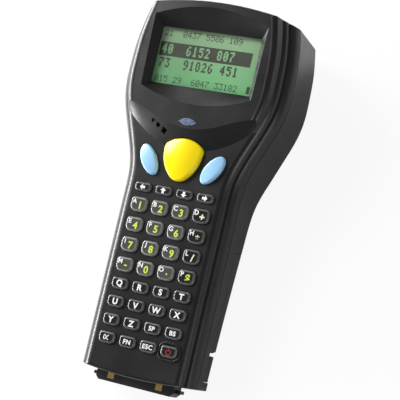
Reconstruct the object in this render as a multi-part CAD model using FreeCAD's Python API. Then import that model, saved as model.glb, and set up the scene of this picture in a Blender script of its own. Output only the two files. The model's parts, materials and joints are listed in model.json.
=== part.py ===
"""Portable barcode data terminal: a keypad grip with a wider display head.

Every piece is drawn in the terminal's own frame: X across the keypad, Y along
it towards the display, Z out of the keypad face, with Z = 0 on that face and
Y = 0 in the middle of the rows of keys.  laid_down() then lays the finished
terminal on its back, on the foot of its head and the lip of its grip.
All sizes are in millimetres.
"""
import FreeCAD
import Part
import math
import os
from FreeCAD import Vector

# Plan outline, measured at the joint between the two casing halves
GRIP_HALF_W = 26.8       # half width of the grip
HEAD_HALF_W = 38.6       # half width of the head where it is widest
HEAD_TOP_NARROWING = 4.3     # how much the half width loses up to the top corners
TOP_Y = 115.6            # middle of the curved top end
END_Y = -46.3            # middle of the curved lower end
FLARE_START_Y = 36.0     # the grip starts to widen into the head
FLARE_END_Y = 80.0       # the head has its full width
HEAD_MID_Y = 87.0        # the head starts to narrow again
TOP_END_R = 150.0        # plan radius of the top end
LOWER_END_R = 190.0      # plan radius of the lower end

# Side view
PARTING_Z = -8.0         # joint between the casing halves
PARTING_GAP = 0.3        # height of the seal between them
HUMP_DEPTH = 32.5        # back of the head, below the keypad face
FOOT_EXTRA = 1.3         # extra depth at the lower edge of the head
FOOT_FADE_Y = 88.0       # the extra depth has gone here
FOOT_Y = 50.0            # lower edge of the head
SLOPE_END_Y = 26.0       # the slope from the head reaches the grip
GRIP_DEPTH = 26.8        # back of the grip at the end of the slope
LIP_DEPTH = 21.8         # back of the grip at its lower end
LIP_Y = -44.0            # the grip starts to thicken here
GRIP_SWELL = 1.5         # power by which it thickens up to the slope
BACK_EDGE_R = 2.6        # rounding between the side walls and the back
REST_BAR_T = 0.45        # the bars it lies on stand out from the back
REST_BAR_ROOT = 0.9      # and reach this far into the wall
LIP_BAR = (-45.3, -42.9, 16.0)    # start and end along Y, and half width
FOOT_BAR = (46.8, 50.8, 20.0)

# Casing walls
WALL = 1.8
REAR_WALL = 2.0
SIDE_DRAFT = 0.5         # the rear side walls lean in by this much at the back

# Stepped shoulder of the front casing, inwards from the joint and in height
FACE_EDGE_IN = 6.8       # the flat face ends here
RAIL_MID_IN = 4.75
RAIL_MID_Z = -0.75
RAIL_IN = 3.7            # outer side of the rounded rail
RAIL_Z = -2.3
GROOVE_IN = 3.45         # foot of the rail, in the groove
GROOVE_Z = -3.4
BAND_IN = 2.6            # outer edge of the groove, where the side band starts
BAND_Z = -3.6
BAND_MID_IN = 0.95
BAND_MID_Z = -5.6

# Raised display surround
SURROUND_LOW_Z = 2.9     # height of the surround at its lower edge
SURROUND_RISE = 1.6      # extra height at the top end
SURROUND_CROWN = 0.5     # extra height along the middle
SURROUND_LOW_Y = 58.8    # middle of its lower edge
SURROUND_FOOT_IN = 5.3   # side of the surround at the face
SURROUND_SIDE_IN = 6.1
SURROUND_EDGE_IN = 8.9   # the side has rounded into the top
SURROUND_SKIRT = 2.4     # the surround starts this far below the face

# Display
SCREEN_HALF_W = 23.2
SCREEN_LOW_Y = 78.2
SCREEN_TOP_Y = 103.1
RECESS_HALF_W = 25.8     # rim of the sloping recess round the screen
RECESS_LOW_Y = 75.8
RECESS_LOW_BOW = 4.9     # the rim bows out at the bottom
RECESS_TOP_Y = 106.6
RECESS_TOP_BOW = 3.1
RECESS_RIM_Z = 3.6
RECESS_FLOOR_Z = 0.6
LENS_LIP = 0.6           # casing left in front of the edge of the window
LENS_EDGE = 1.6          # the window runs this far under the casing
LENS_T = 1.0
LENS_GAP = 0.1
PANEL_BORDER = 2.6       # glass outside the visible screen
PANEL_T = 1.9

# Small keys
COLUMN_PITCH = 9.7
COLUMNS = 4
NUMBER_PITCH = 8.7
LETTER_PITCH = 7.7
FIRST_NUMBER_Y = 25.3
FIRST_LETTER_Y = -9.0
ARROW_Y = 32.9
KEY_TOP_Z = 1.2
KEY_ROUND = 0.45
KEY_GAP = 0.18           # clearance between a key and its hole
KEY_FLANGE = 0.6         # collar that holds the key in
KEY_FLANGE_T = 0.8
KEY_SEAT_GAP = 0.12      # collar to the inside of the face
KEY_TRAVEL = 0.8
NUMBER_KEY = (7.6, 6.2, 1.6, 2.6)    # width, height, upper and lower corner radii
LETTER_KEY = (7.5, 4.9, 1.3, 2.2)
ARROW_KEY = (7.5, 3.9, 1.2, 1.8)

# Scan key and the two side keys
SCAN_KEY_TOP_Z = 3.0
SCAN_KEY_DOME_R = 34.0
SCAN_KEY_MID_Y = 47.5
SCAN_KEY_TRAVEL = 1.0
SIDE_KEY_X = 14.9
SIDE_KEY_Y = 45.0
SIDE_KEY_LONG = 14.4
SIDE_KEY_WIDE = 6.9
SIDE_KEY_LEAN = 32.0     # degrees from the Y axis
SIDE_KEY_TOP_Z = 2.1
SIDE_KEY_DOME_R = 28.0
POWER_RING_W = 10.4      # raised oval round the power key
POWER_RING_H = 8.0
POWER_RING_T = 0.9
POWER_RING_RISE = 0.5

# Status light and sounder holes
LIGHT_Y = 62.9
LIGHT_LONG = 8.2
LIGHT_WIDE = 3.2
LIGHT_PROUD = 0.25
LIGHT_STEM_R = 1.4
SOUND_HOLES = ((-16.6, 61.5, 1.3), (-13.9, 59.9, 1.8), (-10.7, 58.0, 2.3))
SOUND_HOLE_LEAN = 32.0

# Keypad sheet and circuit board
MAT_T = 1.0
BOARD_T = 1.6
BOARD_GRIP_HALF_W = 19.7
BOARD_HEAD_HALF_W = 26.6
BOARD_LOW_Y = -40.0
BOARD_TOP_Y = 108.0
CHIP_T = 1.5

# Battery pack
PACK_TOP_Y = 14.5
PACK_LOW_Y = -28.6
PACK_SEAM_Z = -16.0
PACK_GAP = 0.2
PACK_WALL = 1.6
PACK_NOSE_R = 0.8        # rounding of the edge that the pack swings about
CELL_HALF_W = 18.4
CELL_TOP_Y = 12.0
CELL_LOW_Y = -24.0
CELL_TOP_Z = -10.6
CELL_FLOOR_Z = -20.3
BAY_GAP = 0.4
BAY_SWING_GAP = 3.0      # room for the lower end of the cell as the pack swings
BAY_WALL = 1.2
HOOK_X = 15.0
HOOK_W = 7.0
HOOK_REACH = 1.9
HOOK_T = 1.4
HOOK_BELOW_SEAM = 4.2

# Battery latch
LATCH_TRAVEL = 2.2
LATCH_LONG = 9.4
LATCH_LOW_Y = -40.9
LATCH_TOP_Z = -14.0
LATCH_SIDE_IN = 0.3      # the latch stands in from the side of the grip
LATCH_LEAN = 0.2         # its upper end leans over the pack by this share of its depth
LATCH_GAP = 0.25
LATCH_GUIDE_HALF_W = 6.0
LATCH_GUIDE_LONG = 4.0
LATCH_FOOT_SIDE = 2.0    # the guide's foot reaches this far under the casing
LATCH_FOOT_T = 1.0
LATCH_FLOOR_T = 1.6
RIB_PITCH = 1.9
RIB_DEPTH = 0.45

# Contact block in the lower end
BLOCK_HALF_W = 18.2
BLOCK_OUT = 3.6
BLOCK_IN = 4.6
BLOCK_TOP_Z = -5.0
BLOCK_LOW_Z = -12.6
BLOCK_GAP = 0.15
EAR_HALF_W = 20.4        # two small ears beside the block, clear of the casing
CONTACT_X = 11.3
CONTACT_W = 3.0
CONTACT_T = 0.3
CONTACT_FROM_END = 1.3   # the contacts stop short of the end of the block
CONTACT_LEG = 1.5        # and turn down into it

# Scan engine and its window in the top end
SCAN_HALF_W = 19.0
SCAN_MID_Z = -20.5
SCAN_HALF_H = 6.6
SCAN_PANE_T = 1.2
SCAN_SILL = 1.5
ENGINE_HALF_W = 16.0
ENGINE_LONG = 17.0
ENGINE_H = 13.0
BRACKET_T = 1.2

# Casing screws: X, Y and the depth that the head is sunk to
SCREW_R = 1.1
SCREW_HEAD_R = 2.1
SCREW_HEAD_T = 1.4
BOSS_R = 2.3
SCREW_TOP_Z = -5.2       # the tip ends here, inside the boss
SCREW_SIDE_X = 22.3
SCREW_HEAD_X = 30.2
SCREW_LOW_Y = -22.0
SCREW_MID_Y = 26.0
SCREW_TOP_Y = 102.0

# Cross sections that the casings are drawn through
STATION_COUNT = 25
STATION_OVERRUN = 9.0    # the first and last lie past the ends
FAR = 90.0               # reaches past the terminal in any direction

SHELL_INNER_Z = -WALL
KEY_SEAT_Z = SHELL_INNER_Z - KEY_SEAT_GAP
MAT_TOP_Z = KEY_SEAT_Z - KEY_FLANGE_T - max(KEY_TRAVEL, SCAN_KEY_TRAVEL) - 0.1
BOARD_TOP_Z = MAT_TOP_Z - MAT_T
BOARD_LOW_Z = BOARD_TOP_Z - BOARD_T
LENS_TOP_Z = RECESS_FLOOR_Z - LENS_LIP
REAR_TOP_Z = PARTING_Z - PARTING_GAP
HUMP_INNER_Z = -HUMP_DEPTH + REAR_WALL
LATCH_TOP_Y = LATCH_LOW_Y + LATCH_LONG
BLOCK_END_Y = END_Y - BLOCK_OUT
STATION_STEP = (TOP_Y - END_Y + 2 * STATION_OVERRUN) / (STATION_COUNT - 1)
STATIONS = [END_Y - STATION_OVERRUN + STATION_STEP * i for i in range(STATION_COUNT)]
HEAD_STATIONS = [y for y in STATIONS if y > SURROUND_LOW_Y - 25.0]


def ease(t):
    """0 below t = 0, 1 above t = 1, and a smooth S between them."""
    t = min(max(t, 0.0), 1.0)
    return t * t * (3.0 - 2.0 * t)


def half_width(y):
    """Half width of the terminal at the casing joint."""
    flare = ease((y - FLARE_START_Y) / (FLARE_END_Y - FLARE_START_Y))
    width = GRIP_HALF_W + (HEAD_HALF_W - GRIP_HALF_W) * flare
    past = max(y - HEAD_MID_Y, 0.0) / (TOP_Y - HEAD_MID_Y)
    return width - HEAD_TOP_NARROWING * past * past


def table_z(y):
    """Height of the table under the terminal, which lies on its two bars."""
    lip_y = (LIP_BAR[0] + LIP_BAR[1]) / 2
    foot_y = (FOOT_BAR[0] + FOOT_BAR[1]) / 2
    slope = (back_z(foot_y) - back_z(lip_y)) / (foot_y - lip_y)
    return back_z(lip_y) - REST_BAR_T + slope * (y - lip_y)


def back_z(y):
    """Height of the back: the deep head, a slope, and a grip that thins to its lip."""
    along = min(max((y - LIP_Y) / (SLOPE_END_Y - LIP_Y), 0.0), 1.0)
    grip = -LIP_DEPTH - (GRIP_DEPTH - LIP_DEPTH) * along ** GRIP_SWELL
    head = -HUMP_DEPTH - FOOT_EXTRA * ease((FOOT_FADE_Y - y) / (FOOT_FADE_Y - FOOT_Y))
    return grip + (head - grip) * ease((y - SLOPE_END_Y) / (FOOT_Y - SLOPE_END_Y))


def wire_of(edges):
    return Part.Wire(edges)


def line(a, b):
    return Part.LineSegment(a, b).toShape()


def arc(a, b, c):
    return Part.Arc(a, b, c).toShape()


def box(x0, x1, y0, y1, z0, z1):
    return Part.makeBox(x1 - x0, y1 - y0, z1 - z0, Vector(x0, y0, z0))


def prism(wire, z0, z1):
    """Solid with a closed plan outline, from height z0 to z1."""
    face = Part.Face(wire)
    face.translate(Vector(0, 0, z0 - wire.BoundBox.ZMin))
    return face.extrude(Vector(0, 0, z1 - z0))


def rod(x, y, z0, z1, radius):
    return Part.makeCylinder(radius, z1 - z0, Vector(x, y, z0))


def fuse_all(first, others):
    others = list(others)
    return first.fuse(others) if others else first


def tidy(shape):
    """One clean solid, with the seams that the booleans left taken out."""
    shape = shape.removeSplitter()
    if len(shape.Solids) == 1:
        return shape.Solids[0]
    return shape


def rounded_outline(corners):
    """Closed plan outline through corners (x, y, radius), each rounded by its radius."""
    count = len(corners)
    starts = []
    edges = []
    for i in range(count):
        x, y, radius = corners[i]
        before = corners[i - 1]
        after = corners[(i + 1) % count]
        corner = Vector(x, y, 0)
        back = (Vector(before[0], before[1], 0) - corner).normalize()
        ahead = (Vector(after[0], after[1], 0) - corner).normalize()
        half = back.getAngle(ahead) / 2.0
        reach = radius / math.tan(half)
        middle = (back + ahead).normalize()
        centre = corner + middle * (radius / math.sin(half))
        starts.append((corner + back * reach, centre - middle * radius, corner + ahead * reach))
    for i in range(count):
        first, bulge, last = starts[i]
        edges.append(arc(first, bulge, last))
        edges.append(line(last, starts[(i + 1) % count][0]))
    return wire_of(edges)


def rectangle(x0, x1, y0, y1, radius):
    return rounded_outline([(x0, y0, radius), (x1, y0, radius),
                            (x1, y1, radius), (x0, y1, radius)])


def grown(wire, margin):
    """The outline moved outwards by margin, or inwards when it is negative."""
    return wire.makeOffset2D(margin)


def disc(y_rim, radius, towards, z_top, top_round, z_low, low_round, lean):
    """Large flat disc whose rounded rim trims an end of the terminal.

    The rim passes the middle of that end, and leans in by lean at the back.
    """
    middle_y = y_rim - towards * radius
    low = radius - lean
    points = [Vector(0, 0, z_low), Vector(low - low_round, 0, z_low),
              Vector(low, 0, z_low + low_round), Vector(radius, 0, PARTING_Z),
              Vector(radius, 0, z_top - top_round), Vector(radius - top_round, 0, z_top),
              Vector(0, 0, z_top)]
    turn = math.sqrt(0.5)
    low_mid = Vector(low - low_round * (1 - turn), 0, z_low + low_round * (1 - turn))
    top_mid = Vector(radius - top_round * (1 - turn), 0, z_top - top_round * (1 - turn))
    edges = [line(points[0], points[1]), arc(points[1], low_mid, points[2]),
             line(points[2], points[3]), line(points[3], points[4]),
             arc(points[4], top_mid, points[5]), line(points[5], points[6]),
             line(points[6], points[0])]
    solid = Part.Face(wire_of(edges)).revolve(Vector(0, 0, 0), Vector(0, 0, 1), 360)
    solid.translate(Vector(0, middle_y, 0))
    return solid


def trimmed(shape, inset):
    """The shape kept between the two rounded ends, moved inwards by inset."""
    top_z = SURROUND_LOW_Z + SURROUND_RISE + SURROUND_CROWN - inset
    top = disc(TOP_Y - inset, TOP_END_R - inset, 1, top_z, 1.6, -HUMP_DEPTH - 5, 7.0, 2.0)
    low = disc(END_Y + inset, LOWER_END_R - inset, -1, 10.0 - inset, 1.0, -FAR, 1.0, 0.0)
    edge = rounded_end(inset)
    return shape.common(top).common(low).cut(edge)


def rounded_end(inset):
    """What the rounding of the face takes off at the lower end."""
    radius = LOWER_END_R - inset
    middle_y = END_Y + inset + radius
    soft = 1.3
    a = Vector(radius - soft, 0, -inset)
    b = Vector(radius, 0, -inset - soft)
    turn = math.sqrt(0.5)
    mid = Vector(radius - soft * (1 - turn), 0, -inset - soft * (1 - turn))
    far = Vector(radius + 5, 0, 1)
    edges = [arc(a, mid, b), line(b, Vector(far.x, 0, b.z)), line(Vector(far.x, 0, b.z), far),
             line(far, Vector(a.x, 0, 1)), line(Vector(a.x, 0, 1), a)]
    ring = Part.Face(wire_of(edges)).revolve(Vector(0, 0, 0), Vector(0, 0, 1), 360)
    ring.translate(Vector(0, middle_y, 0))
    return ring.common(box(-FAR, FAR, END_Y - 20, 0, -20, 20))


def front_section(y):
    """Front casing, outside: face, rail, groove and side band, down to the joint."""
    b = half_width(y)
    right = [Vector(b - FACE_EDGE_IN, y, 0), Vector(b - RAIL_MID_IN, y, RAIL_MID_Z),
             Vector(b - RAIL_IN, y, RAIL_Z), Vector(b - GROOVE_IN, y, GROOVE_Z),
             Vector(b - BAND_IN, y, BAND_Z), Vector(b - BAND_MID_IN, y, BAND_MID_Z),
             Vector(b, y, PARTING_Z)]
    left = [Vector(-p.x, p.y, p.z) for p in right]
    return wire_of([line(left[0], right[0]), arc(right[0], right[1], right[2]),
                    line(right[2], right[3]), line(right[3], right[4]),
                    arc(right[4], right[5], right[6]), line(right[6], left[6]),
                    arc(left[6], left[5], left[4]), line(left[4], left[3]),
                    line(left[3], left[2]), arc(left[2], left[1], left[0])])


def front_inner_section(y):
    """Front casing, inside."""
    b = half_width(y)
    right = [Vector(b - FACE_EDGE_IN - 1.0, y, SHELL_INNER_Z),
             Vector(b - GROOVE_IN - 1.4, y, GROOVE_Z - 0.4),
             Vector(b - WALL, y, PARTING_Z - 1.0)]
    left = [Vector(-p.x, p.y, p.z) for p in right]
    points = right + left[::-1]
    return wire_of([line(points[i - 1], points[i]) for i in range(len(points))])


def surround_section(y, inset):
    """Raised surround of the display: leaning sides and a slightly crowned top."""
    b = half_width(y) - inset
    top = SURROUND_LOW_Z - inset
    top += SURROUND_RISE * (y - SURROUND_LOW_Y) / (TOP_Y - SURROUND_LOW_Y)
    foot = Vector(b - SURROUND_FOOT_IN, y, 0)
    skirt = Vector(b - SURROUND_FOOT_IN, y, -SURROUND_SKIRT)
    side = Vector(b - SURROUND_SIDE_IN, y, top - 1.9)
    bend = Vector(b - SURROUND_SIDE_IN - 0.75, y, top - 0.55)
    edge = Vector(b - SURROUND_EDGE_IN, y, top)
    crown = Vector(0, y, top + SURROUND_CROWN)
    flip = [Vector(-p.x, p.y, p.z) for p in (skirt, foot, side, bend, edge)]
    return wire_of([arc(flip[4], crown, edge), arc(edge, bend, side), line(side, foot),
                    line(foot, skirt), line(skirt, flip[0]), line(flip[0], flip[1]),
                    line(flip[1], flip[2]), arc(flip[2], flip[3], flip[4])])


def rear_section(y, inset, top_z):
    """Rear casing: side walls that lean in a little, rounded into the back."""
    b = half_width(y) - inset
    low = back_z(y) + inset
    r = BACK_EDGE_R - inset
    turn = math.sqrt(0.5)
    side = b - SIDE_DRAFT
    right = [Vector(b, y, top_z), Vector(side, y, low + r),
             Vector(side - r * (1 - turn), y, low + r * (1 - turn)),
             Vector(side - r, y, low)]
    left = [Vector(-p.x, p.y, p.z) for p in right]
    return wire_of([line(left[0], right[0]), line(right[0], right[1]),
                    arc(right[1], right[2], right[3]), line(right[3], left[3]),
                    arc(left[3], left[2], left[1]), line(left[1], left[0])])


def loft(section, stations=STATIONS):
    return Part.makeLoft([section(y) for y in stations], True, False)


def spline(points):
    curve = Part.BSplineCurve()
    curve.interpolate([Vector(*p) for p in points])
    return curve.toShape()


def below_surround(inset):
    """What lies below the sloping lower edge of the display surround."""
    wires = []
    for z in (-SURROUND_SKIRT - 1.0, SURROUND_LOW_Z + 3.0):
        share = z / SURROUND_LOW_Z
        drop = SURROUND_LOW_Y + inset - 7.6 * (1.0 - share)
        side = SURROUND_LOW_Y + inset + 11.9 - 2.4 * (1.0 - share)
        bow = [(-44.0, side + 14.0, z), (-32.6, side, z), (-20.0, drop + 5.4, z),
               (-9.0, drop + 1.2, z), (0.0, drop, z), (9.0, drop + 1.2, z),
               (20.0, drop + 5.4, z), (32.6, side, z), (44.0, side + 14.0, z)]
        first = Vector(*bow[0])
        last = Vector(*bow[-1])
        low_left = Vector(first.x, 0, z)
        low_right = Vector(last.x, 0, z)
        wires.append(wire_of([spline(bow), line(last, low_right),
                              line(low_right, low_left), line(low_left, first)]))
    return Part.makeLoft(wires, True, True)


def recess_wire(z, margin):
    """Outline of the display recess at height z, moved outwards by margin."""
    share = (z - RECESS_FLOOR_Z) / (RECESS_RIM_Z - RECESS_FLOOR_Z)
    half = SCREEN_HALF_W + (RECESS_HALF_W - SCREEN_HALF_W) * share + margin
    low = SCREEN_LOW_Y + (RECESS_LOW_Y - SCREEN_LOW_Y) * share - margin
    top = SCREEN_TOP_Y + (RECESS_TOP_Y - SCREEN_TOP_Y) * share + margin
    low_bow = 0.1 + RECESS_LOW_BOW * share
    top_bow = 0.1 + RECESS_TOP_BOW * share
    low_left = Vector(-half, low, z)
    low_right = Vector(half, low, z)
    top_right = Vector(half, top, z)
    top_left = Vector(-half, top, z)
    return wire_of([arc(low_left, Vector(0, low - low_bow, z), low_right),
                    line(low_right, top_right),
                    arc(top_right, Vector(0, top + top_bow, z), top_left),
                    line(top_left, low_left)])


def recess(margin, z_low):
    """The sloping recess as a solid that reaches past the top of the surround."""
    high = SURROUND_LOW_Z + SURROUND_RISE + 3.0
    return Part.makeLoft([recess_wire(z_low, margin), recess_wire(high, margin)], True, True)


def screen_rectangle(border):
    return rectangle(-SCREEN_HALF_W - border, SCREEN_HALF_W + border,
                     SCREEN_LOW_Y - border, SCREEN_TOP_Y + border, 0.5)


def small_key_outline(x, y, size):
    """Key with a straighter upper edge and rounder lower corners."""
    wide, high, upper, lower = size
    return rounded_outline([(x - wide / 2, y - high / 2, lower), (x + wide / 2, y - high / 2, lower),
                            (x + wide / 2, y + high / 2, upper), (x - wide / 2, y + high / 2, upper)])


def scan_key_outline():
    """Large key like a rounded shield, narrower towards the keypad."""
    y = SCAN_KEY_MID_Y
    upper = [(7.6, y + 6.3), (8.75, y + 4.9), (8.75, y + 2.8)]
    side = [(8.75, y + 2.8), (7.0, y - 3.8), (3.9, y - 8.0)]
    edges = [arc(Vector(-7.6, y + 6.3, 0), Vector(0, y + 8.8, 0), Vector(7.6, y + 6.3, 0)),
             arc(*[Vector(px, py, 0) for px, py in upper]),
             arc(*[Vector(px, py, 0) for px, py in side]),
             arc(Vector(3.9, y - 8.0, 0), Vector(0, y - 9.7, 0), Vector(-3.9, y - 8.0, 0)),
             arc(*[Vector(-px, py, 0) for px, py in side[::-1]]),
             arc(*[Vector(-px, py, 0) for px, py in upper[::-1]])]
    return wire_of(edges)


def side_key_outline(side, margin):
    """Leaning oval beside the scan key; side is -1 for left and 1 for right."""
    oval = Part.Ellipse(Vector(0, 0, 0), SIDE_KEY_LONG / 2 + margin, SIDE_KEY_WIDE / 2 + margin)
    wire = Part.Wire([oval.toShape()])
    wire.rotate(Vector(0, 0, 0), Vector(0, 0, 1), 90.0 - side * SIDE_KEY_LEAN)
    wire.translate(Vector(side * SIDE_KEY_X, SIDE_KEY_Y, 0))
    return wire


def key_table():
    """Name, x, y and size of each small key, row by row from the display down."""
    number = [FIRST_NUMBER_Y - NUMBER_PITCH * i for i in range(4)]
    letter = [FIRST_LETTER_Y - LETTER_PITCH * i for i in range(4)]
    rows = [(ARROW_Y, ARROW_KEY, "left up down right"),
            (number[0], NUMBER_KEY, "1 2 3 plus"),
            (number[1], NUMBER_KEY, "4 5 6 times"),
            (number[2], NUMBER_KEY, "7 8 9 divide"),
            (number[3], NUMBER_KEY, "minus 0 point dollar"),
            (letter[0], LETTER_KEY, "q r s t"),
            (letter[1], LETTER_KEY, "u v w x"),
            (letter[2], LETTER_KEY, "y z space backspace"),
            (letter[3], LETTER_KEY, "alpha function escape power")]
    keys = []
    for y, size, names in rows:
        for column, name in enumerate(names.split()):
            x = (column - (COLUMNS - 1) / 2) * COLUMN_PITCH
            keys.append((name, x, y, size))
    return keys


def key_body(outline, wide_outline, top_z):
    """Key cap with the collar that keeps it behind the face."""
    cap = prism(outline, KEY_SEAT_Z - KEY_FLANGE_T, top_z)
    collar = prism(wide_outline, KEY_SEAT_Z - KEY_FLANGE_T, KEY_SEAT_Z)
    return cap, collar


def top_edges(shape):
    """Edges of the highest flat or domed face."""
    face = max(shape.Faces, key=lambda f: f.CenterOfMass.z)
    return face.Edges


def small_key(x, y, size):
    outline = small_key_outline(x, y, size)
    cap, collar = key_body(outline, grown(outline, KEY_FLANGE), KEY_TOP_Z)
    cap = cap.makeFillet(KEY_ROUND, top_edges(cap))
    return tidy(cap.fuse(collar))


def domed(cap, x, y, top_z, radius, edge_round):
    """The cap under a large ball, with its rim rounded."""
    ball = Part.makeSphere(radius, Vector(x, y, top_z - radius))
    cap = cap.common(ball)
    return cap.makeFillet(edge_round, top_edges(cap))


def scan_key():
    outline = scan_key_outline()
    cap, collar = key_body(outline, grown(outline, KEY_FLANGE), SCAN_KEY_TOP_Z + 1)
    cap = domed(cap, 0, SCAN_KEY_MID_Y, SCAN_KEY_TOP_Z, SCAN_KEY_DOME_R, 0.6)
    return tidy(cap.fuse(collar))


def side_key(side):
    cap, collar = key_body(side_key_outline(side, 0), side_key_outline(side, KEY_FLANGE),
                           SIDE_KEY_TOP_Z + 1)
    cap = domed(cap, side * SIDE_KEY_X, SIDE_KEY_Y, SIDE_KEY_TOP_Z, SIDE_KEY_DOME_R, 0.5)
    return tidy(cap.fuse(collar))


def key_holes():
    holes = []
    outlines = [grown(small_key_outline(x, y, size), KEY_GAP) for name, x, y, size in key_table()]
    outlines.append(grown(scan_key_outline(), KEY_GAP))
    outlines += [side_key_outline(side, KEY_GAP) for side in (-1, 1)]
    for outline in outlines:
        holes.append(prism(outline, SHELL_INNER_Z - 2, 6))
    return holes


def light_outline(margin):
    """Leaf shape of the status light, pointed at both ends."""
    half = LIGHT_LONG / 2 + margin
    high = LIGHT_WIDE / 2 + margin
    left = Vector(-half, LIGHT_Y, 0)
    right = Vector(half, LIGHT_Y, 0)
    return wire_of([arc(left, Vector(0, LIGHT_Y - high, 0), right),
                    arc(right, Vector(0, LIGHT_Y + high, 0), left)])


def surround_top_z(y):
    """Height of the middle of the display surround."""
    rise = SURROUND_RISE * (y - SURROUND_LOW_Y) / (TOP_Y - SURROUND_LOW_Y)
    return SURROUND_LOW_Z + rise + SURROUND_CROWN


def sound_holes():
    holes = []
    for x, y, size in SOUND_HOLES:
        hole = box(-size / 2, size / 2, -size / 2, size / 2, SHELL_INNER_Z - 1, 6)
        hole.rotate(Vector(0, 0, 0), Vector(0, 0, 1), -SOUND_HOLE_LEAN)
        hole.translate(Vector(x, y, 0))
        holes.append(hole)
    return holes


def power_ring():
    """Raised oval rim round the power key."""
    name, x, y, size = key_table()[-1]
    half_w = POWER_RING_W / 2
    half_h = POWER_RING_H / 2
    inside = rectangle(x - half_w + POWER_RING_T, x + half_w - POWER_RING_T,
                       y - half_h + POWER_RING_T, y + half_h - POWER_RING_T, 2.6)
    outside = rectangle(x - half_w, x + half_w, y - half_h, y + half_h, 3.4)
    ring = prism(outside, -0.5, POWER_RING_RISE).cut(prism(inside, -1, POWER_RING_RISE + 1))
    top = [e for e in ring.Edges if e.BoundBox.ZMin > POWER_RING_RISE - 0.01]
    return ring.makeFillet(0.25, top)


def screw_places():
    """X, Y and the height of the seat under the head for each casing screw."""
    places = []
    for side in (-1, 1):
        places.append((side * SCREW_SIDE_X, SCREW_LOW_Y, PACK_SEAM_Z + SCREW_HEAD_T + 0.2))
        places.append((side * SCREW_SIDE_X, SCREW_MID_Y, -GRIP_DEPTH + 5.5))
        places.append((side * SCREW_HEAD_X, SCREW_TOP_Y, -HUMP_DEPTH + 3.4))
    return places


def block_opening(margin):
    """Space of the contact block, which the two casing halves hold between them."""
    return box(-BLOCK_HALF_W - margin, BLOCK_HALF_W + margin, BLOCK_END_Y - 2,
               END_Y + BLOCK_IN + margin, BLOCK_LOW_Z - margin, BLOCK_TOP_Z + margin)


def front_shell():
    """Front casing: face, stepped shoulders and the raised display surround."""
    surround = loft(lambda y: surround_section(y, 0.0), HEAD_STATIONS).cut(below_surround(0.0))
    outer = trimmed(loft(front_section).fuse(surround), 0.0)
    inner = trimmed(loft(front_inner_section), WALL)
    hollow = loft(lambda y: surround_section(y, WALL), HEAD_STATIONS).cut(below_surround(WALL))
    hollow = trimmed(hollow, WALL)
    kept = [recess(1.4, SHELL_INNER_Z), prism(screen_rectangle(PANEL_BORDER + 1.3), SHELL_INNER_Z, 1.6)]
    hollow = hollow.cut(kept)
    bosses = [rod(x, y, PARTING_Z, 1.0, BOSS_R).common(outer) for x, y, seat in screw_places()]
    shell = fuse_all(outer.cut([inner, hollow]), bosses + [power_ring()])
    pilots = [rod(x, y, PARTING_Z - 1, SCREW_TOP_Z + 0.3, SCREW_R + 0.05)
              for x, y, seat in screw_places()]
    lens_low = LENS_TOP_Z - LENS_T - LENS_GAP
    cuts = key_holes() + sound_holes() + pilots
    cuts += [recess(0.0, RECESS_FLOOR_Z), prism(screen_rectangle(0.0), -5, RECESS_FLOOR_Z + 0.1),
             prism(screen_rectangle(LENS_EDGE + 0.1), -5, LENS_TOP_Z),
             prism(screen_rectangle(PANEL_BORDER + 0.2), -5, lens_low),
             prism(light_outline(0.12), -5, 8), block_opening(BLOCK_GAP)]
    return tidy(shell.cut(cuts))


def rear_block(inset, top_z):
    """Outside of the rear casing as a solid, moved inwards by inset."""
    return trimmed(loft(lambda y: rear_section(y, inset, top_z)), inset)


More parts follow.
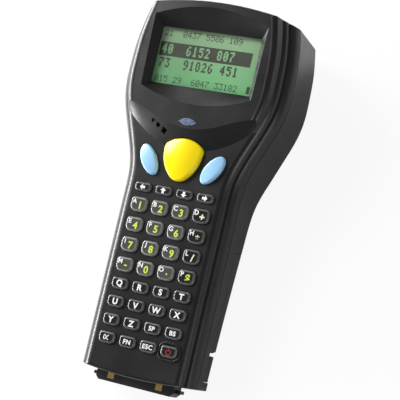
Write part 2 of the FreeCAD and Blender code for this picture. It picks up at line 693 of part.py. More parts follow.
def rear_shell():
    """Rear casing: deep behind the display, with the battery bay and the latch seat."""
    outer = rear_block(0.0, REAR_TOP_Z)
    inner = rear_block(REAR_WALL, REAR_TOP_Z + 2)
    seam = PACK_SEAM_Z
    bay_top = PACK_TOP_Y + PACK_GAP
    latch_low = LATCH_LOW_Y - LATCH_GAP
    latch_lean = LATCH_LEAN * (LATCH_TOP_Z - seam)
    latch_top = LATCH_TOP_Y + latch_lean + LATCH_TRAVEL + LATCH_GAP
    floor_z = LATCH_TOP_Z + LATCH_GAP
    pocket_low = CELL_LOW_Y - BAY_SWING_GAP
    pocket_top = CELL_TOP_Y + BAY_GAP
    pocket_half = CELL_HALF_W + BAY_GAP
    pocket_z = CELL_TOP_Z + BAY_GAP
    posts = [rod(x, y, -FAR, REAR_TOP_Z, BOSS_R + 0.7) for x, y, seat in screw_places()]
    inside = [box(-FAR, FAR, latch_top, bay_top + WALL, seam, seam + WALL),
              box(-FAR, FAR, latch_top, latch_top + WALL, seam, floor_z + LATCH_FLOOR_T),
              box(-FAR, FAR, bay_top, bay_top + WALL, -FAR, seam + WALL),
              box(-pocket_half - BAY_WALL, pocket_half + BAY_WALL, pocket_low - BAY_WALL,
                  pocket_top + BAY_WALL, seam, pocket_z + BAY_WALL),
              box(-FAR, FAR, latch_low, latch_top + 0.1, floor_z, floor_z + LATCH_FLOOR_T),
              box(-FAR, FAR, END_Y - 5, latch_low, -FAR, floor_z + LATCH_FLOOR_T),
              box(-SCAN_HALF_W - 2, SCAN_HALF_W + 2, TOP_Y - 6.2, TOP_Y + 5,
                  SCAN_MID_Z - SCAN_HALF_H - 2, SCAN_MID_Z + SCAN_HALF_H + 2)]
    ribs = [piece.common(outer) for piece in inside + posts]
    shell = fuse_all(outer.cut(inner), ribs + [rest_bar(LIP_BAR), rest_bar(FOOT_BAR)])
    guide_half = LATCH_GUIDE_HALF_W + LATCH_GAP
    guide_low, guide_top = latch_guide_span()
    cuts = [box(-FAR, FAR, latch_top, bay_top, -FAR, seam),
            box(-FAR, FAR, latch_low, latch_top + 0.1, -FAR, floor_z),
            box(-pocket_half, pocket_half, pocket_low, pocket_top, seam - 1, pocket_z),
            box(-guide_half, guide_half, guide_low - LATCH_GAP, guide_top + LATCH_TRAVEL + LATCH_GAP,
                floor_z - 1, floor_z + LATCH_FLOOR_T + 1),
            scan_pocket(0.1), block_opening(BLOCK_GAP)]
    cuts += [hook(side, 0.45) for side in (-1, 1)]
    for x, y, seat in screw_places():
        cuts.append(rod(x, y, seat - 0.5, REAR_TOP_Z + 1, SCREW_R + 0.15))
        cuts.append(rod(x, y, -FAR, seat, SCREW_HEAD_R + 0.15))
    return tidy(shell.cut(cuts))


def across(points, half):
    """Bar across the terminal whose side view has these corners (y, z)."""
    corners = [Vector(-half, y, z) for y, z in points]
    outline = wire_of([line(corners[i - 1], corners[i]) for i in range(len(corners))])
    return Part.Face(outline).extrude(Vector(2 * half, 0, 0))


def rest_bar(span):
    """Low bar on the back whose flat face lies on the table."""
    low, high, half = span
    root = back_z((low + high) / 2) + REST_BAR_ROOT
    return across([(low, table_z(low)), (high, table_z(high)), (high, root), (low, root)], half)


def scan_pocket(margin):
    """Seat of the scan window, and the opening behind it."""
    half = SCAN_HALF_W + margin
    high = SCAN_HALF_H + margin
    seat = box(-half, half, TOP_Y - 3.0, TOP_Y + 5, SCAN_MID_Z - high, SCAN_MID_Z + high)
    inside = box(-SCAN_HALF_W + SCAN_SILL, SCAN_HALF_W - SCAN_SILL, TOP_Y - 8, TOP_Y,
                 SCAN_MID_Z - SCAN_HALF_H + SCAN_SILL, SCAN_MID_Z + SCAN_HALF_H - SCAN_SILL)
    return seat.fuse(inside)


def scan_window():
    """Dark red pane in the top end, curved with the casing."""
    pane = box(-SCAN_HALF_W, SCAN_HALF_W, TOP_Y - 2.95, TOP_Y + 5,
               SCAN_MID_Z - SCAN_HALF_H, SCAN_MID_Z + SCAN_HALF_H)
    return tidy(rear_block(0.35, REAR_TOP_Z).common(pane))


def casing_seal():
    """Thin rubber seal between the casing halves, a little in from the outside."""
    def ring_section(y, inset):
        b = half_width(y) - inset
        return wire_of([line(Vector(-b, y, PARTING_Z), Vector(b, y, PARTING_Z)),
                        line(Vector(b, y, PARTING_Z), Vector(b, y, REAR_TOP_Z)),
                        line(Vector(b, y, REAR_TOP_Z), Vector(-b, y, REAR_TOP_Z)),
                        line(Vector(-b, y, REAR_TOP_Z), Vector(-b, y, PARTING_Z))])
    outside = trimmed(loft(lambda y: ring_section(y, 0.45)), 0.45)
    inside = trimmed(loft(lambda y: ring_section(y, 1.5)), 1.5)
    return tidy(outside.cut(inside).cut(block_opening(BLOCK_GAP)))


def display_window():
    return prism(screen_rectangle(LENS_EDGE), LENS_TOP_Z - LENS_T, LENS_TOP_Z)


def lcd_panel():
    top = LENS_TOP_Z - LENS_T - LENS_GAP
    return prism(screen_rectangle(PANEL_BORDER), top - PANEL_T, top)


def lcd_backlight():
    top = LENS_TOP_Z - LENS_T - LENS_GAP - PANEL_T
    return prism(screen_rectangle(PANEL_BORDER), BOARD_TOP_Z, top)


def status_light():
    """Clear leaf in the surround, with a stem that carries the light up from the board."""
    top = surround_top_z(LIGHT_Y) + LIGHT_PROUD
    leaf = prism(light_outline(0.0), top - 2.4, top)
    leaf = leaf.makeFillet(0.2, top_edges(leaf))
    stem = rod(0, LIGHT_Y, BOARD_TOP_Z, top - 2.0, LIGHT_STEM_R)
    return tidy(leaf.fuse(stem))


def keypad_sheet():
    """Rubber sheet under the keys, which closes their contacts on the board."""
    outline = rounded_outline([(-19.3, BOARD_LOW_Y + 3, 2), (19.3, BOARD_LOW_Y + 3, 2),
                               (19.3, 54.0, 3), (10.5, 54.3, 1.5), (8.0, 57.6, 2),
                               (-8.0, 57.6, 2), (-10.5, 54.3, 1.5), (-19.3, 54.0, 3)])
    return prism(outline, BOARD_TOP_Z, MAT_TOP_Z)


def main_board():
    grip = BOARD_GRIP_HALF_W
    head = BOARD_HEAD_HALF_W
    outline = rounded_outline([(-grip, BOARD_LOW_Y, 2), (grip, BOARD_LOW_Y, 2), (grip, 50, 3),
                               (head, 64, 3), (head, BOARD_TOP_Y, 3), (-head, BOARD_TOP_Y, 3),
                               (-head, 64, 3), (-grip, 50, 3)])
    return prism(outline, BOARD_LOW_Z, BOARD_TOP_Z)


def board_chips():
    """Processor, memory, radio and backup cell on the back of the board."""
    z0 = BOARD_LOW_Z - CHIP_T
    return Part.Compound([box(-7, 7, 60, 74, z0, BOARD_LOW_Z),
                          box(10, 20, 62, 70, z0, BOARD_LOW_Z),
                          box(-21, -4, 82, 100, z0 - 0.6, BOARD_LOW_Z),
                          rod(13, 90, z0 - 0.6, BOARD_LOW_Z, 6.2),
                          box(-10, -3, 20, 31, z0, BOARD_LOW_Z),
                          box(2, 9, 20, 31, z0, BOARD_LOW_Z)])


def sounder():
    """Small round sounder under the three holes."""
    x, y, size = SOUND_HOLES[1]
    body = rod(x, y + 0.3, BOARD_TOP_Z, KEY_SEAT_Z - 0.3, 5.2)
    return body.cut(rod(x, y + 0.3, KEY_SEAT_Z - 0.9, KEY_SEAT_Z, 1.0))


def engine_front():
    return TOP_Y - 7.0


def scan_engine():
    """Scan engine behind the window, open at the front."""
    front = engine_front()
    low = SCAN_MID_Z - ENGINE_H / 2
    body = box(-ENGINE_HALF_W, ENGINE_HALF_W, front - ENGINE_LONG, front, low, low + ENGINE_H)
    mouth = box(-ENGINE_HALF_W + 2, ENGINE_HALF_W - 8, front - 6, front + 1, low + 3, low + ENGINE_H - 3)
    return body.cut(mouth).fuse(rod(ENGINE_HALF_W - 4, front - 4, low, low + ENGINE_H, 2.5))


def scan_bracket():
    """Folded bracket that holds the scan engine between its flanges."""
    front = engine_front()
    half = ENGINE_HALF_W + 0.05
    outer = box(-half - BRACKET_T, half + BRACKET_T, front - ENGINE_LONG + 1, front - 1,
                HUMP_INNER_Z, SCAN_MID_Z + 2)
    return outer.cut(box(-half, half, front - ENGINE_LONG, front, HUMP_INNER_Z + BRACKET_T, 0))


def hook(side, margin):
    """Hook of the battery pack, in its slot above the bay."""
    z = PACK_SEAM_Z - HOOK_BELOW_SEAM
    x = side * HOOK_X
    rise = 1.1 if margin else 0.0
    return box(x - HOOK_W / 2 - margin, x + HOOK_W / 2 + margin, PACK_TOP_Y - 2,
               PACK_TOP_Y + HOOK_REACH + margin, z - HOOK_T / 2 - margin,
               z + HOOK_T / 2 + margin + rise)


def leaning_slab(low_y, low_lean, top_y, top_lean, z):
    """All below z between two ends, each leaning towards the head by its share of the depth."""
    return across([(low_y, z), (top_y, z), (top_y + top_lean * FAR, z - FAR),
                   (low_y + low_lean * FAR, z - FAR)], FAR)


def pack_span():
    return leaning_slab(PACK_LOW_Y, LATCH_LEAN, PACK_TOP_Y, 0.0, PACK_SEAM_Z - PACK_GAP)


def past_nose():
    """What comes off the outer upper edge of the pack to round it about its axis."""
    y = PACK_TOP_Y - PACK_NOSE_R
    z = back_z(PACK_TOP_Y) + PACK_NOSE_R
    nose = Part.makeCylinder(PACK_NOSE_R, 2 * FAR, Vector(-FAR, y, z), Vector(1, 0, 0))
    return box(-FAR, FAR, y, y + 5, z - 5, z).cut(nose)


def battery_cover():
    """Outer tray of the battery pack, flush with the grip."""
    outer = rear_block(0.0, REAR_TOP_Z).common(pack_span())
    tray = box(-GRIP_HALF_W + PACK_WALL + SIDE_DRAFT, GRIP_HALF_W - PACK_WALL - SIDE_DRAFT,
               CELL_LOW_Y - PACK_WALL, PACK_TOP_Y - PACK_WALL, CELL_FLOOR_Z, 0)
    return tidy(fuse_all(outer.cut([tray, past_nose()]), [hook(side, 0.0) for side in (-1, 1)]))


def battery_cell():
    outline = rectangle(-CELL_HALF_W, CELL_HALF_W, CELL_LOW_Y, CELL_TOP_Y, 2.5)
    return prism(outline, CELL_FLOOR_Z, CELL_TOP_Z)


def battery_contacts():
    """Four sprung contacts in the roof of the bay."""
    z = CELL_TOP_Z + BAY_GAP
    return Part.Compound([box(x - 1, x + 1, 3, 9, z - 0.3, z) for x in (-7.5, -2.5, 2.5, 7.5)])


def latch_guide_span():
    middle = LATCH_LOW_Y + LATCH_LONG / 2
    return middle - LATCH_GUIDE_LONG / 2, middle + LATCH_GUIDE_LONG / 2


def battery_latch():
    """Slide across the back whose leaning end holds the pack down, on a footed guide."""
    body = rear_block(LATCH_SIDE_IN, REAR_TOP_Z)
    body = body.common(leaning_slab(LATCH_LOW_Y, 0.0, LATCH_TOP_Y, LATCH_LEAN, LATCH_TOP_Z))
    low, top = latch_guide_span()
    foot_z = LATCH_TOP_Z + LATCH_FLOOR_T + 2 * LATCH_GAP
    guide = box(-LATCH_GUIDE_HALF_W, LATCH_GUIDE_HALF_W, low, top, LATCH_TOP_Z - 1, foot_z)
    foot = box(-LATCH_GUIDE_HALF_W - LATCH_FOOT_SIDE, LATCH_GUIDE_HALF_W + LATCH_FOOT_SIDE,
               low, top, foot_z, foot_z + LATCH_FOOT_T)
    count = int((LATCH_LONG - 1.5) / RIB_PITCH)
    grooves = []
    for i in range(count):
        y = LATCH_LOW_Y + LATCH_LONG / 2 + (i - (count - 1) / 2) * RIB_PITCH
        grooves.append(box(-FAR, FAR, y - 0.4, y + 0.4, -FAR, back_z(y) + LATCH_SIDE_IN + RIB_DEPTH))
    return tidy(fuse_all(body.cut(grooves), [guide, foot]))


def charging_contacts():
    """Two gold strips on the block, each turned down into it near the end."""
    strips = []
    for side in (-1, 1):
        x = side * CONTACT_X
        near = BLOCK_END_Y + CONTACT_FROM_END
        along = box(x - CONTACT_W / 2, x + CONTACT_W / 2, near,
                    END_Y + BLOCK_IN - 0.5, BLOCK_TOP_Z - CONTACT_T, BLOCK_TOP_Z + 0.05)
        leg = box(x - CONTACT_W / 2, x + CONTACT_W / 2, near,
                  near + CONTACT_T, BLOCK_TOP_Z - CONTACT_LEG, BLOCK_TOP_Z)
        strips.append(tidy(along.fuse(leg)))
    return strips


def contact_block():
    """Black bar in the lower end that carries the charging contacts."""
    block = box(-BLOCK_HALF_W, BLOCK_HALF_W, BLOCK_END_Y, END_Y + BLOCK_IN,
                BLOCK_LOW_Z, BLOCK_TOP_Z)
    ends = [e for e in block.Edges if e.BoundBox.YMax < BLOCK_END_Y + 0.01 and e.Length < 10]
    block = block.makeChamfer(1.4, ends)
    ears = box(-EAR_HALF_W, EAR_HALF_W, END_Y - 1.7, END_Y - 0.35,
               BLOCK_LOW_Z + 1.5, BLOCK_TOP_Z - 2.0)
    return tidy(block.fuse(ears).cut(charging_contacts()))


def casing_screws():
    screws = []
    for x, y, seat in screw_places():
        head = rod(x, y, seat - SCREW_HEAD_T, seat, SCREW_HEAD_R)
        slot = box(x - SCREW_HEAD_R, x + SCREW_HEAD_R, y - 0.3, y + 0.3, seat - SCREW_HEAD_T - 1,
                   seat - SCREW_HEAD_T + 0.6)
        cross = slot.copy()
        cross.rotate(Vector(x, y, 0), Vector(0, 0, 1), 90)
        shank = rod(x, y, seat - 0.1, SCREW_TOP_Z, SCREW_R)
        screws.append(tidy(head.fuse(shank).cut([slot, cross])))
    return Part.Compound(screws)


def all_pieces():
    pieces = {"front_shell": front_shell(), "rear_shell": rear_shell(),
              "casing_seal": casing_seal(), "display_window": display_window(),
              "lcd_panel": lcd_panel(), "lcd_backlight": lcd_backlight(),
              "status_light": status_light(), "keypad_sheet": keypad_sheet(),
              "main_board": main_board(), "board_chips": board_chips(), "sounder": sounder(),
              "scan_engine": scan_engine(), "scan_bracket": scan_bracket(),
              "scan_window": scan_window(), "battery_cover": battery_cover(),
              "battery_cell": battery_cell(), "battery_contacts": battery_contacts(),
              "battery_latch": battery_latch(), "contact_block": contact_block(),
              "charging_contacts": Part.Compound(charging_contacts()),
              "casing_screws": casing_screws(), "scan_key": scan_key(),
              "side_key_left": side_key(-1), "side_key_right": side_key(1)}
    for name, x, y, size in key_table():
        pieces["key_" + name] = small_key(x, y, size)
    return pieces


def laid_down(pieces):
    """Lay the terminal on its back: both bars on Z = 0, its middle at X = Y = 0."""
    slope = (table_z(TOP_Y) - table_z(END_Y)) / (TOP_Y - END_Y)
    tilt = -math.degrees(math.atan(slope))
    turn = FreeCAD.Rotation(Vector(1, 0, 0), tilt)
    turned = {}
    for name, shape in pieces.items():
        turned[name] = shape.copy()
        turned[name].Placement = FreeCAD.Placement(Vector(0, 0, 0), turn)
    boxes = [shape.optimalBoundingBox(False) for shape in turned.values()]
    middle = (min(b.YMin for b in boxes) + max(b.YMax for b in boxes)) / 2
    stand = turn.multVec(Vector(0, LIP_Y, table_z(LIP_Y))).z
    shift = Vector(0, -middle, -stand)
    for name in turned:
        turned[name].Placement = FreeCAD.Placement(shift, turn)
    print("tilt %.4f degrees, shift %.4f %.4f" % (tilt, shift.y, shift.z))
    return turned


os.makedirs("parts", exist_ok=True)
for node, solid in laid_down(all_pieces()).items():
    if not solid.isValid():
        print(node, "isn't valid")
    print("%-18s %d solids %9.1f mm3" % (node, len(solid.Solids), solid.Volume))
    solid.exportStep("parts/" + node + ".step")
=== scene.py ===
import json
import math

import bmesh
import bpy
import numpy as np
from mathutils import Matrix


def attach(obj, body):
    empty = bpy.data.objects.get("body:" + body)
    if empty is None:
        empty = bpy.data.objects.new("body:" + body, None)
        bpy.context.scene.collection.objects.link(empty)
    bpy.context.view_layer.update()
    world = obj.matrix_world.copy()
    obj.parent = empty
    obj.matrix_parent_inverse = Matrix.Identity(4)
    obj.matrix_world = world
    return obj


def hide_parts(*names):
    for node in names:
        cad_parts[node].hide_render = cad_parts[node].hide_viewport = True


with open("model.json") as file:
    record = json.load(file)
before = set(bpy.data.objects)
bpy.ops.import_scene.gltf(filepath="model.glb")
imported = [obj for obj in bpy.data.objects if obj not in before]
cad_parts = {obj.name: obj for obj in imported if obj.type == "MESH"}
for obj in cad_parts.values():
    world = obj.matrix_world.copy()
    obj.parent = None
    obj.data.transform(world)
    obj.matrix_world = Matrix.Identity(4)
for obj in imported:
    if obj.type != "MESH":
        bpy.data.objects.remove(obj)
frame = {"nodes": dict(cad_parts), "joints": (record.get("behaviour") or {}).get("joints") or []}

bpy.context.view_layer.update()


# How the terminal lies
# It rests on two low bars on its back, one across the head and one across the lower lip,
# so the keypad face leans up towards the display. The pieces below are worked out in that
# face's own frame in millimetres, and placed() lays them down in the frame's metres.
joints = {joint["name"]: joint for joint in frame["joints"]}
PACK_HINGE = np.array([0.0, 13.7, -24.8199])
lean_sin = joints["press_scan_key"]["axis"][1]
lean_cos = -joints["press_scan_key"]["axis"][2]
face_turn = np.array([[1.0, 0.0, 0.0], [0.0, lean_cos, -lean_sin], [0.0, lean_sin, lean_cos]])
face_middle = np.array(joints["swing_battery"]["pos_m"]) * 1000 - face_turn @ PACK_HINGE


def placed(points):
    """Points (x, y, z) of the keypad face in mm, turned by its lean and moved, in metres."""
    return (np.asarray(points, float) @ face_turn.T + face_middle) / 1000


# Camera
# It stands to the right of the terminal and looks down on the keypad, turned so that
# the display end leans to the right, as in the photograph.
CAMERA_AT = np.array([248.34, -27.02, 528.24])
CAMERA_AIM = np.array([12.16, 31.97, 0.0])
CAMERA_ROLL = math.radians(13.35)
CAMERA_LENS = 126.0
CAMERA_SENSOR = 36.0
CAMERA_NEAR = 0.02

back = CAMERA_AT - CAMERA_AIM
back /= np.linalg.norm(back)
level = np.cross([0.0, 1.0, 0.0], back)
level /= np.linalg.norm(level)
right = level * math.cos(CAMERA_ROLL) + np.cross(back, level) * math.sin(CAMERA_ROLL)
stand = np.eye(4)
stand[:3, 0] = face_turn @ right
stand[:3, 1] = face_turn @ np.cross(back, right)
stand[:3, 2] = face_turn @ back
stand[:3, 3] = placed(CAMERA_AT)
camera_data = bpy.data.cameras.new("camera")
camera_data.lens = CAMERA_LENS
camera_data.sensor_width = CAMERA_SENSOR
camera_data.clip_start = CAMERA_NEAR
camera = bpy.data.objects.new("camera", camera_data)
camera.matrix_world = Matrix(stand)
bpy.context.scene.collection.objects.link(camera)
bpy.context.scene.camera = camera
bpy.context.scene.view_settings.view_transform = "Standard"


# Studio
# Three soft boxes and an even sky over a plain pale floor. The camera sees floor and sky
# as nearly white, and the floor still takes the terminal's shadow.
def soft_box(name, at, aim, wide, high, power):
    """Rectangular lamp at one point that faces another, both in metres."""
    lamp = bpy.data.lights.new(name, "AREA")
    lamp.shape = "RECTANGLE"
    lamp.size = wide
    lamp.size_y = high
    lamp.energy = power
    body = bpy.data.objects.new(name, lamp)
    away = np.array(at) - np.array(aim)
    away /= np.linalg.norm(away)
    side = np.cross([0.0, 0.0, 1.0], away)
    side /= np.linalg.norm(side)
    turn = np.eye(4)
    turn[:3, 0] = side
    turn[:3, 1] = np.cross(away, side)
    turn[:3, 2] = away
    turn[:3, 3] = at
    body.matrix_world = Matrix(turn)
    bpy.context.scene.collection.objects.link(body)


soft_box("box_left", (-0.9, 0.1, 0.16), (0.0, 0.02, 0.02), 1.3, 0.26, 28.0)
soft_box("box_far", (-0.8, 0.45, 0.75), (0.0, 0.03, 0.02), 0.6, 0.4, 13.0)
soft_box("box_right", (0.8, -0.5, 0.5), (0.0, 0.0, 0.02), 0.7, 0.5, 4.0)


def seen_white(tree, shader, share):
    """The shader, with that share of plain white over it where the camera sees it."""
    nodes = tree.nodes
    path = nodes.new("ShaderNodeLightPath")
    seen = nodes.new("ShaderNodeMath")
    seen.operation = "MULTIPLY"
    seen.inputs[1].default_value = share
    tree.links.new(path.outputs["Is Camera Ray"], seen.inputs[0])
    white = nodes.new("ShaderNodeEmission")
    white.inputs["Strength"].default_value = 1.0
    blend = nodes.new("ShaderNodeMixShader")
    tree.links.new(seen.outputs[0], blend.inputs[0])
    tree.links.new(shader, blend.inputs[1])
    tree.links.new(white.outputs[0], blend.inputs[2])
    return blend.outputs[0]


FLOOR_HALF = 4.0
FLOOR_TONE = 0.86
FLOOR_WHITE = 0.9
SKY_WHITE = 1.0
SKY_LIGHT = 0.2

floor_mesh = bpy.data.meshes.new("floor")
floor_mesh.from_pydata([(-FLOOR_HALF, -FLOOR_HALF, 0), (FLOOR_HALF, -FLOOR_HALF, 0),
                        (FLOOR_HALF, FLOOR_HALF, 0), (-FLOOR_HALF, FLOOR_HALF, 0)],
                       [], [(0, 1, 2, 3)])
floor = bpy.data.objects.new("floor", floor_mesh)
bpy.context.scene.collection.objects.link(floor)
floor_paper = bpy.data.materials.new("floor_paper")
floor_paper.use_nodes = True
paper_tree = floor_paper.node_tree
paper_shader = paper_tree.nodes["Principled BSDF"]
paper_shader.inputs["Base Color"].default_value = (FLOOR_TONE, FLOOR_TONE, FLOOR_TONE, 1)
paper_shader.inputs["Roughness"].default_value = 0.9
paper_tree.links.new(seen_white(paper_tree, paper_shader.outputs[0], FLOOR_WHITE),
                     paper_tree.nodes["Material Output"].inputs["Surface"])
floor_mesh.materials.append(floor_paper)

sky = bpy.data.worlds.new("sky")
sky.use_nodes = True
sky_tree = sky.node_tree
sky_shader = sky_tree.nodes["Background"]
sky_shader.inputs["Color"].default_value = (1, 1, 1, 1)
sky_shader.inputs["Strength"].default_value = SKY_LIGHT
sky_tree.links.new(seen_white(sky_tree, sky_shader.outputs[0], SKY_WHITE),
                   sky_tree.nodes["World Output"].inputs["Surface"])
bpy.context.scene.world = sky


# Casing
# Two halves moulded in charcoal plastic with a fine spark-eroded grain, screwed together
# from behind over a thin rubber seal that shows as a black line.
def surface(name, colour, roughness, **sockets):
    """Material whose uniform colour, roughness and other sockets are set on its shader."""
    material = bpy.data.materials.new(name)
    material.use_nodes = True
    shader = material.node_tree.nodes["Principled BSDF"]
    shader.inputs["Base Color"].default_value = (*colour, 1)
    shader.inputs["Roughness"].default_value = roughness
    for socket, value in sockets.items():
        shader.inputs[socket.replace("_", " ")].default_value = value
    return material


def noise(material, grain):
    """Noise over the piece's own space; grain is the size of its spots in metres."""
    tree = material.node_tree
    place = tree.nodes.new("ShaderNodeTexCoord")
    spots = tree.nodes.new("ShaderNodeTexNoise")
    spots.inputs["Scale"].default_value = 1 / grain
    spots.inputs["Detail"].default_value = 3.0
    tree.links.new(place.outputs["Object"], spots.inputs["Vector"])
    return spots.outputs["Fac"]


NOISE_MIDDLE = (0.3, 0.7)


def spread(material, source, low, high):
    """Value from low to high as the noise goes through its middle range."""
    tree = material.node_tree
    spread_node = tree.nodes.new("ShaderNodeMapRange")
    spread_node.inputs["From Min"].default_value = NOISE_MIDDLE[0]
    spread_node.inputs["From Max"].default_value = NOISE_MIDDLE[1]
    spread_node.inputs["To Min"].default_value = low
    spread_node.inputs["To Max"].default_value = high
    tree.links.new(source, spread_node.inputs["Value"])
    return spread_node.outputs["Result"]


BROAD_GRAINS = 40
GLOSS_SWING = 0.04


def moulded(name, colour, roughness, grain, depth, mottle=0.12, **sockets):
    """Moulded plastic: grain of that size and depth in metres, its gloss and tone a little uneven."""
    material = surface(name, colour, roughness, **sockets)
    tree = material.node_tree
    shader = tree.nodes["Principled BSDF"]
    fine = noise(material, grain)
    bump = tree.nodes.new("ShaderNodeBump")
    bump.inputs["Distance"].default_value = depth
    tree.links.new(fine, bump.inputs["Height"])
    tree.links.new(bump.outputs["Normal"], shader.inputs["Normal"])
    broad = noise(material, BROAD_GRAINS * grain)
    tree.links.new(spread(material, broad, roughness - GLOSS_SWING, roughness + GLOSS_SWING),
                   shader.inputs["Roughness"])
    tone = tree.nodes.new("ShaderNodeMix")
    tone.data_type = "RGBA"
    tone.inputs["A"].default_value = (*[c * (1 - mottle) for c in colour], 1)
    tone.inputs["B"].default_value = (*[min(c * (1 + mottle), 1.0) for c in colour], 1)
    tree.links.new(spread(material, fine, 0.0, 1.0), tone.inputs["Factor"])
    tree.links.new(tone.outputs["Result"], shader.inputs["Base Color"])
    return material


def dress(material, *nodes):
    """Give CAD pieces whose shape is right their material."""
    for node in nodes:
        mesh = frame["nodes"][node].data
        mesh.materials.clear()
        mesh.materials.append(material)


charcoal = moulded("charcoal_plastic", (0.007, 0.007, 0.0072), 0.34, 0.00035, 0.00001)
seal_rubber = moulded("seal_rubber", (0.008, 0.008, 0.008), 0.7, 0.0002, 0.000004)
black_zinc = moulded("black_zinc", (0.12, 0.12, 0.125), 0.35, 0.0002, 0.000002, Metallic=1.0)
dress(charcoal, "front_shell", "rear_shell")
dress(seal_rubber, "casing_seal")
dress(black_zinc, "casing_screws")


# Battery pack and latch
# The pack is a tray of the casing's charcoal plastic round a wrapped cell, hooked in at its
# upper end under gold contacts. The black latch slides on a guide across the back, and its
# leaning end holds the pack's lower end down.
latch_black = moulded("latch_plastic", (0.01, 0.01, 0.0104), 0.36, 0.0003, 0.000008)
cell_wrap = moulded("cell_wrap", (0.03, 0.05, 0.09), 0.3, 0.001, 0.00001)
gold = moulded("gold_plate", (0.9, 0.62, 0.2), 0.24, 0.0003, 0.000002, 0.05, Metallic=1.0)
dress(charcoal, "battery_cover")
dress(latch_black, "battery_latch")
dress(cell_wrap, "battery_cell")
dress(gold, "battery_contacts")


# Charging end
# A bar of the latch's black plastic is held between the casing halves at the lower end.
# It carries two gold strips that meet the pins of a cradle.
dress(latch_black, "contact_block")
dress(gold, "charging_contacts")


# Scan end
# The engine is a small cast block, held between the flanges of a folded steel bracket. It
# looks out through a dark red pane set into the top end of the casing.
engine_cast = moulded("engine_cast", (0.2, 0.21, 0.22), 0.38, 0.0004, 0.00001, Metallic=1.0)
bracket_steel = moulded("bracket_steel", (0.55, 0.55, 0.55), 0.3, 0.0008, 0.000004, Metallic=1.0)
red_pane = moulded("red_pane", (0.05, 0.002, 0.004), 0.08, 0.002, 0.000001)
dress(engine_cast, "scan_engine")
dress(bracket_steel, "scan_bracket")
dress(red_pane, "scan_window")


# Board, sheet and sounder
# A green laminate board lies inside the casing, with black chips under it and the sounder on
# it. A sheet of grey rubber lies on it below the keys and closes their contacts.
solder_mask = moulded("solder_mask", (0.01, 0.11, 0.03), 0.35, 0.0008, 0.00001)
chip_plastic = moulded("chip_plastic", (0.02, 0.02, 0.021), 0.5, 0.0003, 0.000004)
key_rubber = moulded("key_rubber", (0.14, 0.14, 0.15), 0.6, 0.0006, 0.00001)
dress(solder_mask, "main_board")
dress(chip_plastic, "board_chips", "sounder")
dress(key_rubber, "keypad_sheet")


# Display
# A reflective green panel lies on its white light guide, behind a clear window in the
# recess. Its dots, 128 across and 64 down, stand on it as thin squares and show figures.
def add_piece(name, mesh, body, replaced=()):
    """Put a finished mesh into the scene, evenly shaded, on the body that it moves with."""
    piece = bpy.data.objects.new(name, mesh)
    bpy.context.scene.collection.objects.link(piece)
    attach(piece, body)
    if replaced:
        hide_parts(*replaced)
    even = piece.modifiers.new("even_shading", "WEIGHTED_NORMAL")
    even.keep_sharp = True
    return piece


SCREEN_HALF_W = 23.2
SCREEN_LOW_Y = 78.2
SCREEN_TOP_Y = 103.1
PANEL_Z = -1.1
PANEL_LOW_GREEN = (0.15, 0.47, 0.19, 1)
PANEL_TOP_GREEN = (0.28, 0.44, 0.25, 1)

light_guide = moulded("light_guide", (0.7, 0.71, 0.68), 0.5, 0.0006, 0.000006)
window_clear = moulded("window_clear", (0.2, 0.25, 0.2), 0.06, 0.004, 0.000001, 0.02, Alpha=0.04)
panel_green = moulded("panel_green", (0.17, 0.46, 0.19), 0.28, 0.0006, 0.000002, 0.05)
# The panel's colour is blended along its length: a deeper green at its lower end and a paler, greyer
# green at its top end.
panel_tree = panel_green.node_tree
panel_place = panel_tree.nodes.new("ShaderNodeTexCoord")
panel_axes = panel_tree.nodes.new("ShaderNodeSeparateXYZ")
panel_tree.links.new(panel_place.outputs["Object"], panel_axes.inputs[0])
panel_along = panel_tree.nodes.new("ShaderNodeMapRange")
panel_along.inputs["From Min"].default_value = placed([0, SCREEN_LOW_Y, 0])[1]
panel_along.inputs["From Max"].default_value = placed([0, SCREEN_TOP_Y, 0])[1]
panel_tree.links.new(panel_axes.outputs["Y"], panel_along.inputs["Value"])
panel_tone = panel_tree.nodes.new("ShaderNodeMix")
panel_tone.data_type = "RGBA"
panel_tone.inputs["A"].default_value = PANEL_LOW_GREEN
panel_tone.inputs["B"].default_value = PANEL_TOP_GREEN
panel_tree.links.new(panel_along.outputs["Result"], panel_tone.inputs["Factor"])
panel_tree.links.new(panel_tone.outputs["Result"],
                     panel_tree.nodes["Principled BSDF"].inputs["Base Color"])
dress(light_guide, "lcd_backlight")
dress(window_clear, "display_window")
dress(panel_green, "lcd_panel")

FIGURES = {"0": (14, 17, 19, 21, 25, 17, 14), "1": (4, 12, 4, 4, 4, 4, 14),
           "2": (14, 17, 1, 2, 4, 8, 31), "3": (31, 2, 4, 2, 1, 17, 14),
           "4": (2, 6, 10, 18, 31, 2, 2), "5": (31, 16, 30, 1, 1, 17, 14),
           "6": (6, 8, 16, 30, 17, 17, 14), "7": (31, 1, 2, 4, 8, 8, 8),
           "8": (14, 17, 17, 14, 17, 17, 14), "9": (14, 17, 17, 15, 1, 2, 12),
           " ": (0, 0, 0, 0, 0, 0, 0)}
FIGURE_COLUMNS = 5
FIGURE_ROWS = 7
PLAIN_PITCH = 6
BOLD_PITCH = 8
BOLD_HEIGHTS = (2, 1, 2, 1, 2, 1, 2)


def figure_rows(words, bold):
    """Dots of a line: bit 4 - c of row r is dot (r, c); bold ones are a dot wider, and taller."""
    pitch = BOLD_PITCH if bold else PLAIN_PITCH
    rows = np.array([FIGURES[figure] for figure in words])
    dots = (rows[:, :, None] >> np.arange(FIGURE_COLUMNS - 1, -1, -1)) & 1
    dots = np.pad(dots, ((0, 0), (0, 0), (0, pitch - FIGURE_COLUMNS)))
    dots = dots.transpose(1, 0, 2).reshape(FIGURE_ROWS, -1)
    if bold:
        dots = dots | np.roll(dots, 1, axis=1)
        dots = dots.repeat(BOLD_HEIGHTS, axis=0)
    return dots.astype(bool)


